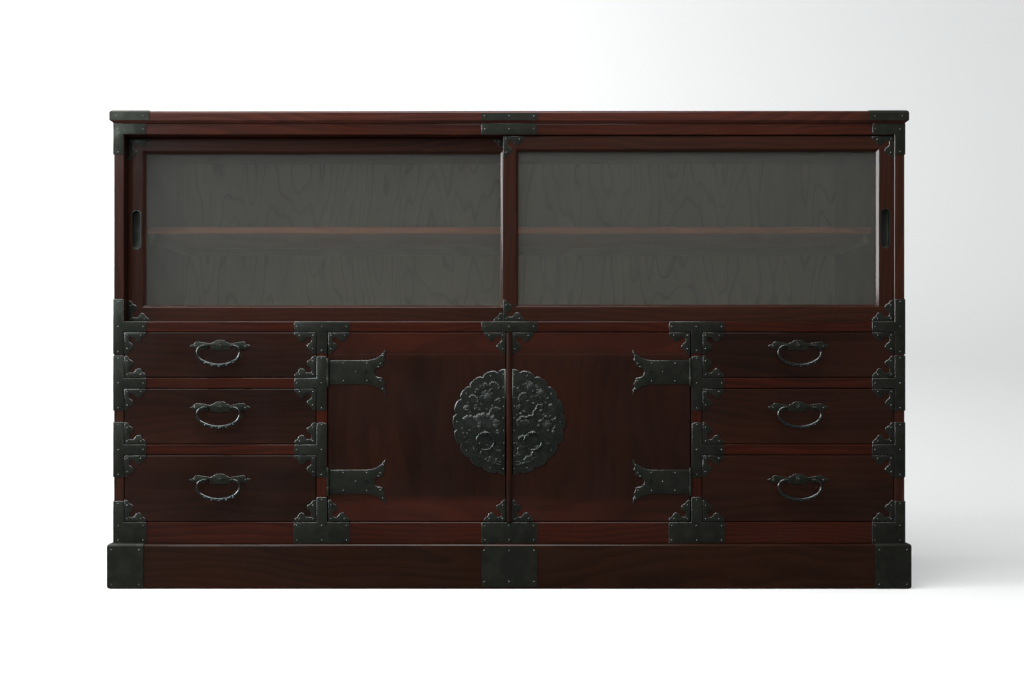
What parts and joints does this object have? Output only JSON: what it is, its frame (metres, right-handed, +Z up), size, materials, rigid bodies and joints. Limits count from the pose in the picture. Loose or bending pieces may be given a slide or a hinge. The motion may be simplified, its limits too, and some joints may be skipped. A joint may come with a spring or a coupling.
{
  "type": "sideboard",
  "caption": "Low lacquered wood sideboard with sliding glass doors above, hinged cupboard doors between drawers below, black iron fittings and a plinth.",
  "frame": {"origin": "on the floor, under the middle of the sideboard's overall width and depth", "axes": "+X to the right as seen from the front, +Y from the front to the back, +Z up"},
  "size_m": [1.6528, 0.4501, 0.9864],
  "materials": {
    "lacquered_wood": "red-brown lacquer, satin",
    "inner_wood": "plain, unlacquered",
    "black_iron": "blackened, dull sheen",
    "glass": "clear"
  },
  "bodies": {
    "carcass": {"plinth": "lacquered_wood", "plinth_irons": "black_iron", "bottom_board": "inner_wood", "side_panel_left": "lacquered_wood", "side_panel_right": "lacquered_wood", "top_board": "lacquered_wood", "top_irons": "black_iron", "back_panels": "inner_wood", "head_rail": "lacquered_wood", "sill_rail": "lacquered_wood", "front_rails": "lacquered_wood", "partitions": "lacquered_wood", "middle_board": "inner_wood", "display_shelf": "lacquered_wood", "cupboard_shelf": "inner_wood", "shelf_cleats": "inner_wood", "drawer_runners": "inner_wood", "door_stops": "inner_wood", "frame_irons": "black_iron", "hinge_leaves": "black_iron", "hinge_pins": "black_iron"},
    "glass_door_left": {"glass_door_left_frame": "lacquered_wood", "glass_door_left_pane": "glass", "glass_door_left_irons": "black_iron"},
    "glass_door_right": {"glass_door_right_frame": "lacquered_wood", "glass_door_right_pane": "glass", "glass_door_right_irons": "black_iron"},
    "cupboard_door_left": {"cupboard_door_left": "lacquered_wood", "cupboard_door_left_irons": "black_iron", "lock_plate_left": "black_iron"},
    "ring_pull_left": {"ring_pull_left": "black_iron"},
    "cupboard_door_right": {"cupboard_door_right": "lacquered_wood", "cupboard_door_right_irons": "black_iron", "lock_plate_right": "black_iron", "meeting_batten": "lacquered_wood"},
    "ring_pull_right": {"ring_pull_right": "black_iron"},
    "drawer_left_lower": {"drawer_left_lower_front": "lacquered_wood", "drawer_left_lower_box": "inner_wood", "drawer_left_lower_fittings": "black_iron"},
    "drawer_left_lower_bail": {"drawer_left_lower_bail": "black_iron"},
    "drawer_left_middle": {"drawer_left_middle_front": "lacquered_wood", "drawer_left_middle_box": "inner_wood", "drawer_left_middle_fittings": "black_iron"},
    "drawer_left_middle_bail": {"drawer_left_middle_bail": "black_iron"},
    "drawer_left_upper": {"drawer_left_upper_front": "lacquered_wood", "drawer_left_upper_box": "inner_wood", "drawer_left_upper_fittings": "black_iron"},
    "drawer_left_upper_bail": {"drawer_left_upper_bail": "black_iron"},
    "drawer_right_lower": {"drawer_right_lower_front": "lacquered_wood", "drawer_right_lower_box": "inner_wood", "drawer_right_lower_fittings": "black_iron"},
    "drawer_right_lower_bail": {"drawer_right_lower_bail": "black_iron"},
    "drawer_right_middle": {"drawer_right_middle_front": "lacquered_wood", "drawer_right_middle_box": "inner_wood", "drawer_right_middle_fittings": "black_iron"},
    "drawer_right_middle_bail": {"drawer_right_middle_bail": "black_iron"},
    "drawer_right_upper": {"drawer_right_upper_front": "lacquered_wood", "drawer_right_upper_box": "inner_wood", "drawer_right_upper_fittings": "black_iron"},
    "drawer_right_upper_bail": {"drawer_right_upper_bail": "black_iron"}
  },
  "joints": [
    {"name": "glass_door_left_slide", "type": "slide", "parent": "carcass", "child": "glass_door_left", "axis": [1, 0, 0], "range_m": [0, 0.7825]},
    {"name": "glass_door_right_slide", "type": "slide", "parent": "carcass", "child": "glass_door_right", "axis": [-1, 0, 0], "range_m": [0, 0.7825]},
    {"name": "cupboard_door_left_hinge", "type": "hinge", "parent": "carcass", "child": "cupboard_door_left", "pos_m": [-0.3738, -0.20995, 0.3325], "axis": [0, 0, 1], "range_deg": [-170, 0]},
    {"name": "ring_pull_left_swing", "type": "hinge", "parent": "cupboard_door_left", "child": "ring_pull_left", "pos_m": [-0.049, -0.21385, 0.3215], "axis": [-1, 0, 0], "range_deg": [0, 90]},
    {"name": "cupboard_door_right_hinge", "type": "hinge", "parent": "carcass", "child": "cupboard_door_right", "pos_m": [0.3738, -0.20995, 0.3325], "axis": [0, 0, -1], "range_deg": [-170, 0]},
    {"name": "ring_pull_right_swing", "type": "hinge", "parent": "cupboard_door_right", "child": "ring_pull_right", "pos_m": [0.049, -0.21385, 0.3215], "axis": [-1, 0, 0], "range_deg": [0, 90]},
    {"name": "drawer_left_lower_slide", "type": "slide", "parent": "carcass", "child": "drawer_left_lower", "axis": [0, -1, 0], "range_m": [0, 0.3]},
    {"name": "drawer_left_lower_bail_swing", "type": "hinge", "parent": "drawer_left_lower", "child": "drawer_left_lower_bail", "pos_m": [-0.59675, -0.22085, 0.224], "axis": [-1, 0, 0], "range_deg": [0, 90]},
    {"name": "drawer_left_middle_slide", "type": "slide", "parent": "carcass", "child": "drawer_left_middle", "axis": [0, -1, 0], "range_m": [0, 0.3]},
    {"name": "drawer_left_middle_bail_swing", "type": "hinge", "parent": "drawer_left_middle", "child": "drawer_left_middle_bail", "pos_m": [-0.59675, -0.22085, 0.373], "axis": [-1, 0, 0], "range_deg": [0, 90]},
    {"name": "drawer_left_upper_slide", "type": "slide", "parent": "carcass", "child": "drawer_left_upper", "axis": [0, -1, 0], "range_m": [0, 0.3]},
    {"name": "drawer_left_upper_bail_swing", "type": "hinge", "parent": "drawer_left_upper", "child": "drawer_left_upper_bail", "pos_m": [-0.59675, -0.22085, 0.5], "axis": [-1, 0, 0], "range_deg": [0, 90]},
    {"name": "drawer_right_lower_slide", "type": "slide", "parent": "carcass", "child": "drawer_right_lower", "axis": [0, -1, 0], "range_m": [0, 0.3]},
    {"name": "drawer_right_lower_bail_swing", "type": "hinge", "parent": "drawer_right_lower", "child": "drawer_right_lower_bail", "pos_m": [0.59675, -0.22085, 0.224], "axis": [-1, 0, 0], "range_deg": [0, 90]},
    {"name": "drawer_right_middle_slide", "type": "slide", "parent": "carcass", "child": "drawer_right_middle", "axis": [0, -1, 0], "range_m": [0, 0.3]},
    {"name": "drawer_right_middle_bail_swing", "type": "hinge", "parent": "drawer_right_middle", "child": "drawer_right_middle_bail", "pos_m": [0.59675, -0.22085, 0.373], "axis": [-1, 0, 0], "range_deg": [0, 90]},
    {"name": "drawer_right_upper_slide", "type": "slide", "parent": "carcass", "child": "drawer_right_upper", "axis": [0, -1, 0], "range_m": [0, 0.3]},
    {"name": "drawer_right_upper_bail_swing", "type": "hinge", "parent": "drawer_right_upper", "child": "drawer_right_upper_bail", "pos_m": [0.59675, -0.22085, 0.5], "axis": [-1, 0, 0], "range_deg": [0, 90]}
  ]
}
